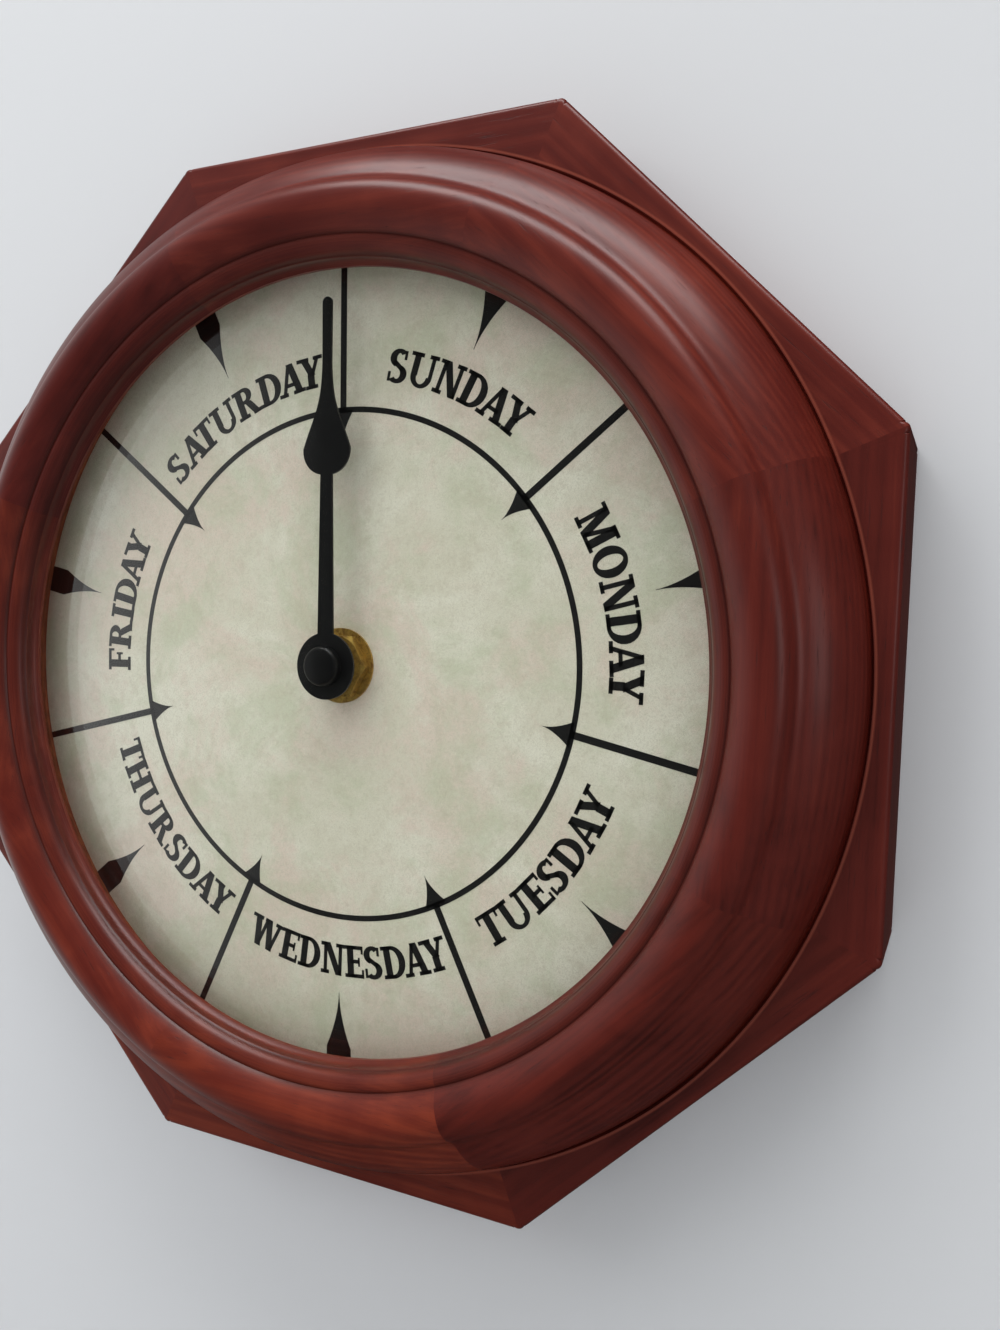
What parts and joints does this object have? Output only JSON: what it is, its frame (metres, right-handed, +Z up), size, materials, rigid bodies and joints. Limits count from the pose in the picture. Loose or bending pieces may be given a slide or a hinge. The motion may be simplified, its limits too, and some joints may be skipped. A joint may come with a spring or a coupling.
{
  "type": "dementia day clock",
  "caption": "Wall clock with an octagonal stained-wood frame, a convex glass and one hand that goes round the dial once a week to show the day.",
  "frame": {"origin": "centre of the round hole in the keyhole hanger, on the back face that lies on the wall", "axes": "+Z is up, +X is to the right seen from the front, and the clock faces -Y; +Y points into the wall"},
  "size_m": [0.216, 0.039, 0.216],
  "materials": {
    "stained_wood": "satin red-brown stain and lacquer",
    "glass": "clear convex clock glass",
    "fibre_strip": "stained fibre strip",
    "dial_paper": "matt mottled parchment print",
    "hardboard": "tempered hardboard",
    "zinc_steel": "bright zinc plate",
    "brass": "turned brass",
    "black_rubber": "black rubber",
    "black_enamel": "satin black enamel",
    "black_plastic": "moulded black plastic",
    "natural_plastic": "natural acetal",
    "steel": "turned steel",
    "magnet": "bonded magnet",
    "copper_wire": "enamelled copper wire",
    "board_laminate": "phenolic board",
    "resin": "black resin",
    "battery_sleeve": "printed sleeve",
    "nickel_strip": "nickel-plated spring strip"
  },
  "bodies": {
    "clock": {"frame_stave_top": "stained_wood", "frame_stave_upper_right": "stained_wood", "frame_stave_right": "stained_wood", "frame_stave_lower_right": "stained_wood", "frame_stave_bottom": "stained_wood", "frame_stave_lower_left": "stained_wood", "frame_stave_left": "stained_wood", "frame_stave_upper_left": "stained_wood", "keyhole_hanger": "zinc_steel", "hanger_screws": "zinc_steel", "dial_retaining_tabs": "zinc_steel", "dial_tab_screws": "zinc_steel", "convex_lens": "glass", "lens_spacer_ring": "fibre_strip", "dial_face": "dial_paper", "dial_board": "hardboard", "rubber_washer": "black_rubber", "threaded_bushing": "brass", "brass_washer": "brass", "hex_nut": "brass", "stator": "steel", "coil_bobbin": "natural_plastic", "coil_winding": "copper_wire", "circuit_board": "board_laminate", "quartz_crystal": "zinc_steel", "chip_cap": "resin", "movement_case": "black_plastic", "train_plate": "natural_plastic", "movement_rear_cover": "black_plastic", "battery_contact_plus": "nickel_strip", "battery_contact_minus": "nickel_strip"},
    "hand_assembly": {"day_arbor": "steel", "day_wheel": "natural_plastic", "hand_bushing": "nickel_strip", "day_hand": "black_enamel", "cap_nut": "black_enamel"},
    "idler": {"idler_arbor": "steel", "idler_pinion": "steel", "idler_wheel": "natural_plastic"},
    "setter": {"set_arbor": "steel", "set_pinion": "natural_plastic", "set_knob": "black_plastic", "clutch_spring": "nickel_strip"},
    "drive": {"drive_wheel": "natural_plastic"},
    "second": {"second_arbor": "steel", "second_pinion": "steel", "second_wheel": "natural_plastic"},
    "rotor": {"rotor_pinion": "natural_plastic", "rotor_magnet": "magnet"},
    "battery": {"battery": "battery_sleeve"}
  },
  "joints": [
    {"name": "hand_turn", "type": "hinge", "parent": "clock", "child": "hand_assembly", "pos_m": [0, -0.0177, -0.098], "axis": [0, 1, 0], "continuous": true},
    {"name": "idler_turn", "type": "hinge", "parent": "clock", "child": "idler", "pos_m": [0.01032, -0.0177, -0.09077], "axis": [0, 1, 0], "continuous": true},
    {"name": "set_knob_turn", "type": "hinge", "parent": "clock", "child": "setter", "pos_m": [0, -0.0177, -0.08287], "axis": [0, 1, 0], "continuous": true},
    {"name": "drive_wheel_turn", "type": "hinge", "parent": "clock", "child": "drive", "pos_m": [0, -0.0177, -0.08287], "axis": [0, 1, 0], "continuous": true},
    {"name": "second_wheel_turn", "type": "hinge", "parent": "clock", "child": "second", "pos_m": [-0.00889, -0.0177, -0.08428], "axis": [0, 1, 0], "continuous": true},
    {"name": "rotor_turn", "type": "hinge", "parent": "clock", "child": "rotor", "pos_m": [-0.01698, -0.0177, -0.08822], "axis": [0, 1, 0], "continuous": true},
    {"name": "battery_out", "type": "slide", "parent": "clock", "child": "battery", "axis": [0, 1, 0], "range_m": [0, 0.03]}
  ],
  "couplings": [
    {"joint": "idler_turn", "follows": "hand_turn", "ratio": -3.5},
    {"joint": "set_knob_turn", "follows": "hand_turn", "ratio": 14},
    {"joint": "second_wheel_turn", "follows": "drive_wheel_turn", "ratio": -4},
    {"joint": "rotor_turn", "follows": "drive_wheel_turn", "ratio": 16}
  ]
}
